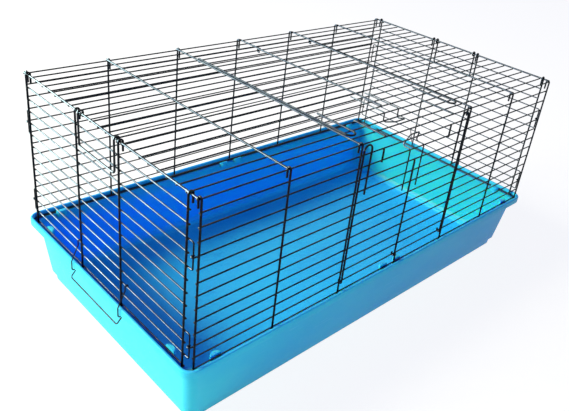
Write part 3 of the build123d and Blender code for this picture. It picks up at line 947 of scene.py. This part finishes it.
# %% Front panel
split_rows = np.arange(HINGE_ROW + 1, HINGE_ROW + 1 + DOOR_ROWS)
front_through_rows = np.setdiff1d(np.arange(ROW_COUNT), split_rows)
front_uprights = LONG_UPRIGHTS[np.abs(LONG_UPRIGHTS) > BAY / 2]
plain_split_rows = np.setdiff1d(split_rows, LINK_ROWS)
sill_rows = ROW_Z[:HINGE_ROW + 1]
front_parts = [
    hooked_uprights(grid_of(front_uprights, -FRAME_Y, FOOT_OF_WIRE_Z), 0, ROOF_MESH_Z, LONG_HOOK),
    straight((SHORT_UPRIGHT_X, -FRAME_Y, FOOT_OF_WIRE_Z),
             (SHORT_UPRIGHT_X, -FRAME_Y, sill_rows[-1] + OVERHANG), FRAME_WIRE, sill_rows - FOOT_OF_WIRE_Z),
    full_rows(front_through_rows, -MESH_Y),
    beads(grid_of(front_uprights, -MESH_Y - BEAD_STEP, ROW_Z), (1, 0, 0), (0, 0, 1)),
    beads(grid_of(SHORT_UPRIGHT_X, -MESH_Y - BEAD_STEP, sill_rows), (1, 0, 0), (0, 0, 1)),
]
front_parts += [side_rows(plain_split_rows, side) for side in (-1, 1)]
front_parts += [row_with_eye(side * (BAY - OVERHANG), side, -1, row, side_welds)
                for row in LINK_ROWS for side in (-1, 1)]
put_wirework("front_panel", "cage_top", front_parts, PANEL_WIRE)

# %% Back panel
back_parts = [
    hooked_uprights(grid_of(LONG_UPRIGHTS, FRAME_Y, FOOT_OF_WIRE_Z), 180, ROOF_MESH_Z, LONG_HOOK),
    full_rows(np.setdiff1d(np.arange(ROW_COUNT), LINK_ROWS), MESH_Y),
    beads(grid_of(LONG_UPRIGHTS, MESH_Y + BEAD_STEP, ROW_Z), (1, 0, 0), (0, 0, 1)),
]
half_welds = BAY * np.arange(LONG_BAYS // 2 + 1)
back_parts += [row_with_eye(0.0, side, 1, row, half_welds) for row in LINK_ROWS for side in (-1, 1)]
put_wirework("back_panel", "cage_top", back_parts, PANEL_WIRE)

# %% [markdown]
# ## End panels and their corner loops
#
# The end panels have four uprights, and rows that stop short of the corners. On each vertical edge two bent
# loops stand out, between one row and the next but one. The eyes of the long panels close round them.

# %% End panels
END_CORNER_GAP = 18.5
END_MIDDLE_SPREAD = 133.0
LINK_BEND = 3.0
END_OVERHANG = 2.5
END_EDGE_Y = FRAME_Y - END_CORNER_GAP
END_UPRIGHTS = np.array((-END_EDGE_Y, -END_MIDDLE_SPREAD / 2, END_MIDDLE_SPREAD / 2, END_EDGE_Y))
END_ROW_HALF = END_EDGE_Y + END_OVERHANG


def corner_loop(side, edge, row):
    """A U of wire beside one linked row, standing out from the end panel's edge."""
    low, high = ROW_Z[row - 1], ROW_Z[row + 1]
    corners = [(END_ROW_HALF, low), (LINK_Y, low), (LINK_Y, high), (END_ROW_HALF, high)]
    path = rounded([(side * MESH_X, edge * y, z) for y, z in corners], LINK_BEND)
    return tube(path, MESH_WIRE)


for name, side, facing in (("left", -1, -90), ("right", 1, 90)):
    row_starts = grid_of(side * MESH_X, -END_ROW_HALF, ROW_Z)
    put_wirework(name + "_end_panel", "cage_top", [
        hooked_uprights(grid_of(side * FRAME_X, END_UPRIGHTS, FOOT_OF_WIRE_Z), facing, CROSS_Z, END_HOOK),
        straight(row_starts, row_starts * (1, -1, 1), MESH_WIRE, END_UPRIGHTS + END_ROW_HALF),
        beads(grid_of(side * (MESH_X + BEAD_STEP), END_UPRIGHTS, ROW_Z), (0, 1, 0), (0, 0, 1)),
    ], PANEL_WIRE)
    for edge_name, edge in (("front", -1), ("back", 1)):
        loops = [corner_loop(side, edge, row) for row in LINK_ROWS]
        put_wirework(f"{edge_name}_{name}_corner_loops", "cage_top", loops, PANEL_WIRE)

# %% [markdown]
# ## Roof panel
#
# The roof is two layers as well: long rows and two rim wires below, and cross wires above them, standing
# just beside the uprights' hooks. Its doorway leaves the middle rows out, and a short cross wire stiffens
# the strip behind it.

# %% Roof
ROOF_GAPS = 22
ROOF_HINGE_GAP = 3
CROSS_STEP = 4.2
ROOF_PITCH = 2 * RIM_Y / ROOF_GAPS
ROOF_Y = ROOF_PITCH * np.arange(ROOF_GAPS + 1) - RIM_Y
ROOF_HINGE_ROW = ROOF_GAPS - ROOF_HINGE_GAP
CROSS_X = np.array((BAY + CROSS_STEP, 2 * BAY + CROSS_STEP, RIM_X))
ROOF_ROW_END = RIM_X + MESH_WIRE / 2
ROOF_ROW_START = CROSS_X[0] - OVERHANG
CROSS_END_Y = RIM_Y + OVERHANG
ROOF_BEAD_Z = ROOF_MESH_Z + BEAD_STEP
all_cross_x = np.concatenate([-CROSS_X[::-1], CROSS_X])
roof_rows = np.arange(1, ROOF_GAPS)
roof_split_rows = np.arange(ROOF_HINGE_GAP + 1, ROOF_HINGE_ROW)
roof_through_rows = np.setdiff1d(roof_rows, roof_split_rows)

rim_end = RIM_X + OVERHANG
rim_starts = grid_of(-rim_end, (-RIM_Y, RIM_Y), ROOF_MESH_Z)
through_starts = grid_of(-ROOF_ROW_END, ROOF_Y[roof_through_rows], ROOF_MESH_Z)
cross_starts = grid_of(all_cross_x, -CROSS_END_Y, CROSS_Z)
strip_rows = np.arange(ROOF_HINGE_ROW, ROOF_GAPS + 1)
stub_front = ROOF_Y[ROOF_HINGE_ROW] - OVERHANG
roof_parts = [
    straight(rim_starts, rim_starts * (-1, 1, 1), MESH_WIRE, all_cross_x + rim_end),
    straight(through_starts, through_starts * (-1, 1, 1), MESH_WIRE, all_cross_x + ROOF_ROW_END),
    straight(cross_starts, cross_starts * (1, -1, 1), FRAME_WIRE, ROOF_Y + CROSS_END_Y),
    straight((SHORT_UPRIGHT_X, stub_front, CROSS_Z), (SHORT_UPRIGHT_X, CROSS_END_Y, CROSS_Z), FRAME_WIRE,
             ROOF_Y[strip_rows] - stub_front),
    beads(grid_of(all_cross_x, ROOF_Y, ROOF_BEAD_Z), (1, 0, 0), (0, 1, 0)),
    beads(grid_of(SHORT_UPRIGHT_X, ROOF_Y[strip_rows], ROOF_BEAD_Z), (1, 0, 0), (0, 1, 0)),
]
for side in (-1, 1):
    starts = grid_of(side * ROOF_ROW_START, ROOF_Y[roof_split_rows], ROOF_MESH_Z)
    ends = grid_of(side * ROOF_ROW_END, ROOF_Y[roof_split_rows], ROOF_MESH_Z)
    roof_parts.append(straight(starts, ends, MESH_WIRE, CROSS_X - ROOF_ROW_START))
put_wirework("roof_panel", "cage_top", roof_parts, PANEL_WIRE)

# %% [markdown]
# ## Stiffeners
#
# Beside each latch a short thick wire is welded across the frame wires that the latch pulls on.

# %% Stiffeners
STIFFENER_SPREAD = 200.0
latch_rows = ROW_Z[HINGE_ROW + DOOR_ROWS + 1:]
front_strip = ROOF_Y[:ROOF_HINGE_GAP + 1]
for name, side in (("left", -1), ("right", 1)):
    x = side * STIFFENER_SPREAD / 2
    foot, top = latch_rows[0] - OVERHANG, latch_rows[-1] + OVERHANG
    put_wirework(f"front_{name}_stiffener", "cage_top", [
        straight((x, -FRAME_Y, foot), (x, -FRAME_Y, top), FRAME_WIRE, latch_rows - foot),
        beads(grid_of(x, -MESH_Y - BEAD_STEP, latch_rows), (1, 0, 0), (0, 0, 1)),
    ], PANEL_WIRE)
    front, back = front_strip[0] - OVERHANG, front_strip[-1] + OVERHANG
    put_wirework(f"roof_{name}_stiffener", "cage_top", [
        straight((x, front, CROSS_Z), (x, back, CROSS_Z), FRAME_WIRE, front_strip - front),
        beads(grid_of(x, front_strip, ROOF_BEAD_Z), (1, 0, 0), (0, 1, 0)),
    ], PANEL_WIRE)

# %% [markdown]
# ## Doors
#
# Both doors are made alike, so one function draws a door lying flat: the hinge wire along X, the door away
# from it along Y, the outside up. Its two edge wires go up past the doorway, turn round in a U that rests
# on the frame, and come back down as a tail. Their feet, and the middle wire's, curl into eyes round the
# hinge wire. A second function lays the flat door into its doorway.

# %% Door wires
DOOR_EYE_TURN = 235.0
STOP_WIDTH = 20.0
STOP_REACH = 9.0
STOP_TAIL = 8.0
DOOR_LIFT = (MESH_WIRE + FRAME_WIRE) / 2 + RUN_GAP
DOOR_MESH_LIFT = DOOR_LIFT - LAYER_STEP


def in_doorway(points, hinge):
    """Flat points laid into a doorway: origin + x X + y Y + z (X x Y)."""
    origin, x_axis, y_axis = (np.array(values, float) for values in hinge)
    return origin + points @ np.stack([x_axis, y_axis, np.cross(x_axis, y_axis)])


def edge_wire(half, rows, pitch):
    """An edge wire's path on the -X side: tail, U, long run, eye. And how near a weld each point is."""
    inner = STOP_WIDTH - half
    tail_y = (rows - 1) * pitch - STOP_TAIL
    bend_y = (rows + 2) * pitch + STOP_REACH
    tail, tail_weld = stations(bend_y - tail_y, pitch * np.array((rows - 1, rows)) - tail_y)
    run, run_weld = stations(bend_y, bend_y - pitch * np.arange(1, rows + 1))
    bow = STOP_WIDTH / 2
    stop = arc((inner - bow, bend_y, DOOR_LIFT), (bow, 0, 0), (0, bow, 0), 180)
    eye = arc((-half, 0, 0), (0, 0, DOOR_LIFT), (0, -DOOR_LIFT, 0), DOOR_EYE_TURN)
    tail_points = np.stack([0 * tail + inner, tail_y + tail, 0 * tail + DOOR_LIFT], axis=-1)
    run_points = np.stack([0 * run - half, bend_y - run, 0 * run + DOOR_LIFT], axis=-1)
    path = np.concatenate([tail_points, stop[1:-1], run_points, eye[1:]])
    return path, np.concatenate([tail_weld, np.zeros(len(stop) - 2), run_weld, np.zeros(len(eye) - 1)])


def middle_wire(rows, pitch):
    """The middle wire's path from its top end down to its eye. And how near a weld each point is."""
    top = rows * pitch + OVERHANG
    run, weld = stations(top, top - pitch * np.arange(1, rows + 1))
    eye = arc((0, 0, 0), (0, 0, DOOR_LIFT), (0, -DOOR_LIFT, 0), DOOR_EYE_TURN)
    path = np.concatenate([np.stack([0 * run, top - run, 0 * run + DOOR_LIFT], axis=-1), eye[1:]])
    return path, np.pad(weld, (0, len(eye) - 1))


print("door wires stand", DOOR_LIFT, "mm out from the hinge wire")


# %% Whole door
def door_parts(half, rows, pitch, hinge):
    """Edge wires, middle wire, rows and beads of one door in its doorway.

    The second edge wire mirrors the first in x, the rows run between both, and a bead sits wherever a row
    crosses an upright or a tail.
    """
    edge, edge_weld = edge_wire(half, rows, pitch)
    middle, middle_weld = middle_wire(rows, pitch)
    row_y = pitch * np.arange(1, rows + 1)
    row_starts = grid_of(-half - OVERHANG, row_y, DOOR_MESH_LIFT)
    row_ends = row_starts * (-1, 1, 1)
    upright_x = np.array((-half, 0.0, half))
    bead_z = DOOR_MESH_LIFT + BEAD_STEP
    tail_x = half - STOP_WIDTH
    tail_places = grid_of((-tail_x, tail_x), row_y[-2:], bead_z)
    places = np.concatenate([grid_of(upright_x, row_y, bead_z), tail_places])
    row_welds = np.array((-half, -tail_x, 0, tail_x, half)) + half + OVERHANG
    return [
        tube(in_doorway(np.stack([edge, edge * (-1, 1, 1)]), hinge), FRAME_WIRE, edge_weld),
        tube(in_doorway(middle, hinge), FRAME_WIRE, middle_weld),
        straight(in_doorway(row_starts, hinge), in_doorway(row_ends, hinge), MESH_WIRE, row_welds),
        beads(in_doorway(places, hinge), hinge[1], hinge[2]),
    ]


print("a door's tails stand", STOP_WIDTH, "mm inside its edges")

# %% [markdown]
# ## Latches
#
# A latch is one spring wire. Its two legs are welded to the door's upper rows, go up to the frame wire, dip
# in over it, and rise again behind the next wire to a short bar. A finger presses that bar, the wire gives,
# and the door comes free.

# %% Latch parts
LATCH_SPREAD = 41.0
LATCH_TAIL = 12.0
LATCH_DEPTH = 16.0
LATCH_RISE = 23.0
LATCH_LEAN = 8.0
LATCH_BAR = 27.0
LATCH_BEND = 4.5
LATCH_WELDS = 3


def latch_parts(rows, pitch, hinge):
    """The latch's bent wire, symmetrical about the door's middle, and its welds on the rows.

    One side runs from the leg's foot up the door, in over the frame wire, and slanting up to the bar. The
    other side mirrors it in x, and every corner is an arc.
    """
    leg_lift = DOOR_MESH_LIFT + MESH_WIRE - WELD_DEPTH
    wrap_bend = MESH_WIRE + 2 * RUN_GAP - WELD_DEPTH / 2
    over_y = (rows + 1) * pitch + wrap_bend
    leg_x = LATCH_SPREAD / 2
    first_row = rows - LATCH_WELDS + 1
    leg_y = first_row * pitch - LATCH_TAIL
    profile = [(leg_x, leg_y, leg_lift), (leg_x, over_y, leg_lift), (leg_x, over_y, -LATCH_DEPTH)]
    profile += [(LATCH_BAR / 2, over_y + LATCH_RISE, LATCH_LEAN - LATCH_DEPTH)]
    bends = [wrap_bend, LATCH_BEND, LATCH_BEND]
    corners = [(-x, y, z) for x, y, z in profile] + profile[::-1]
    row_y = pitch * np.arange(first_row, rows + 1)
    places = grid_of((-leg_x, leg_x), row_y, (DOOR_MESH_LIFT + leg_lift) / 2)
    return [
        tube(in_doorway(rounded(corners, bends + bends[::-1]), hinge), MESH_WIRE),
        beads(in_doorway(places, hinge), hinge[1], hinge[2]),
    ]


print("a latch is", LATCH_SPREAD, "mm wide at its legs and", LATCH_BAR, "mm at its bar")

# %% Doors in their doorways
DOOR_SIDE_GAP = 6.0
front_hinge = ((0, -MESH_Y, ROW_Z[HINGE_ROW]), (1, 0, 0), (0, 0, 1))
roof_hinge = ((0, ROOF_Y[ROOF_HINGE_ROW], ROOF_MESH_Z), (-1, 0, 0), (0, -1, 0))
roof_door_rows = ROOF_GAPS - 2 * ROOF_HINGE_GAP - 1
for name, half, rows, pitch, hinge in (
    ("front_door", BAY - DOOR_SIDE_GAP, DOOR_ROWS, ROW_PITCH, front_hinge),
    ("roof_door", CROSS_X[0] - DOOR_SIDE_GAP, roof_door_rows, ROOF_PITCH, roof_hinge),
):
    put_wirework(name, name, door_parts(half, rows, pitch, hinge), PANEL_WIRE)
    put_wirework(name + "_latch", name, latch_parts(rows, pitch, hinge), SPRING_WIRE)

# %% [markdown]
# ## Carry handles and tray clips
#
# Both are bails: a wire bent into a U whose ends curl into eyes round a panel wire, so it swings. A handle
# hangs from the roof's end wire. A clip hangs from a row of the end panel, bows out over the rim, and its
# kink grips under the lip. Each is drawn for the right end and turned half round for the left. The clips
# lie in front of the bright tray, where they show dark, so they are taken out of the strip lamp's wirework
# again.

# %% Handles
HANDLE_SPREAD = 111.0
HANDLE_DROP = 57.0
HANDLE_BEND = 6.0
HANDLE_EYE_TURN = 280.0
HANDLE_X = MESH_X + (MESH_WIRE + FRAME_WIRE) / 2 + RUN_GAP
HANDLE_RADIUS = HANDLE_X - RIM_X


def bail(profile, bends, half, eye_radius, eye_turn):
    """A U of wire: an eye, down one side of the profile, across, up the other side, and an eye.

    The profile's first point is the eye's outer side. The wire comes out of the eye upwards, so the eye's arc
    is drawn from there and then reversed.
    """
    start_x, start_z = profile[0]
    corners = [(x, half, z) for x, z in profile] + [(x, -half, z) for x, z in reversed(profile)]
    legs = rounded(corners, list(bends) + list(bends)[::-1])
    eye = arc((start_x - eye_radius, half, start_z), (eye_radius, 0, 0), (0, 0, eye_radius), eye_turn)
    return np.concatenate([eye[:0:-1], legs, (eye * (1, -1, 1))[1:]])


handle_path = bail([(HANDLE_X, CROSS_Z), (HANDLE_X, CROSS_Z - HANDLE_DROP)], [HANDLE_BEND], HANDLE_SPREAD / 2,
                   HANDLE_RADIUS, HANDLE_EYE_TURN)
for name, degrees in (("left", 180), ("right", 0)):
    handle = tube(turned(handle_path, degrees), FRAME_WIRE)
    put_wirework(name + "_carry_handle", name + "_handle", [handle], SPRING_WIRE)

# %% Clips
CLIP_ROW = 2
CLIP_WIRE = 2.2
CLIP_SPREAD = 160.0
CLIP_STAND_OFF = 16.7
CLIP_NECK_DROP = 8.0
CLIP_BOW_DROP = 38.0
CLIP_TIP_GAP = 1.6
CLIP_TIP_REACH = 5.8
CLIP_PULL_OUT = 11.5
CLIP_PULL_DROP = 14.0
CLIP_BENDS = [4.0, 4.0, 4.0, 1.6, 4.0]
CLIP_EYE_TURN = 255.0
CLIP_RADIUS = (CLIP_WIRE + MESH_WIRE) / 2 + RUN_GAP

clip_z = ROW_Z[CLIP_ROW]
neck_x = MESH_X + CLIP_RADIUS
out_x = MESH_X + CLIP_STAND_OFF
tip_x = HALF_LENGTH - CLIP_TIP_REACH
tip_z = LIP_FOOT_Z - CLIP_TIP_GAP - CLIP_WIRE / 2
clip_profile = [(neck_x, clip_z), (neck_x, clip_z - CLIP_NECK_DROP), (out_x, clip_z - CLIP_BOW_DROP)]
clip_profile += [(out_x, tip_z), (tip_x, tip_z), (tip_x + CLIP_PULL_OUT, tip_z - CLIP_PULL_DROP)]
clip_path = bail(clip_profile, CLIP_BENDS, CLIP_SPREAD / 2, CLIP_RADIUS, CLIP_EYE_TURN)
for name, degrees in (("left", 180), ("right", 0)):
    clip = tube(turned(clip_path, degrees), CLIP_WIRE)
    made_clip = put_wirework(name + "_tray_clip", name + "_clip", [clip], SPRING_WIRE)
    WIREWORK.objects.unlink(made_clip)
